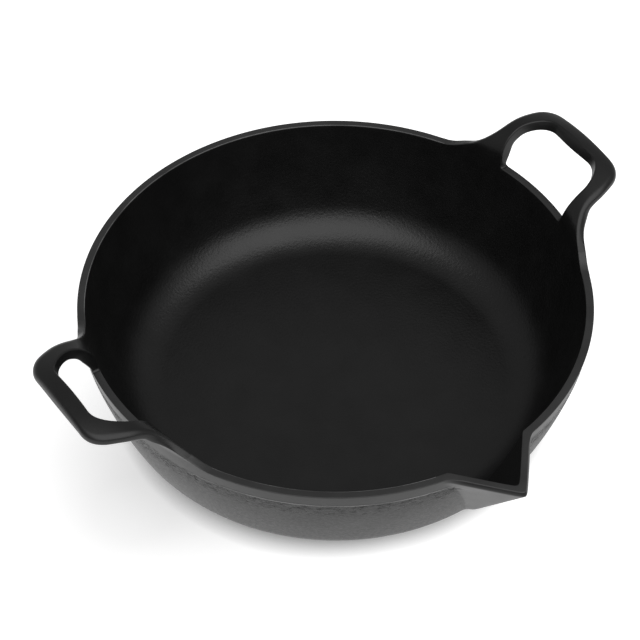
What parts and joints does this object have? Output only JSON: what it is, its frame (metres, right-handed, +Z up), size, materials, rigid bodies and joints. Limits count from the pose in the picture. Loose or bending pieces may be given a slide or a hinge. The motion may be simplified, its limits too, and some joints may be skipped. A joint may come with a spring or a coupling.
{
  "type": "cast iron pot",
  "caption": "Shallow round cast iron pot with a pointed pouring spout and raised loop handles on opposite sides of the rim.",
  "frame": {"origin": "on the bowl's axis, in the plane that the pot's flat base stands on", "axes": "+X out through the middle of the right handle, -Y out through the pouring spout, +Z up out of the bowl"},
  "size_m": [0.321, 0.285, 0.094],
  "materials": {
    "body_iron": "black seasoned iron, smooth satin inside and on the rim, rough as cast on the outside of the wall",
    "handle_iron": "black seasoned iron, smooth satin"
  },
  "bodies": {
    "root": {"pot_body": "body_iron", "handle_left": "handle_iron", "handle_right": "handle_iron"}
  },
  "joints": []
}
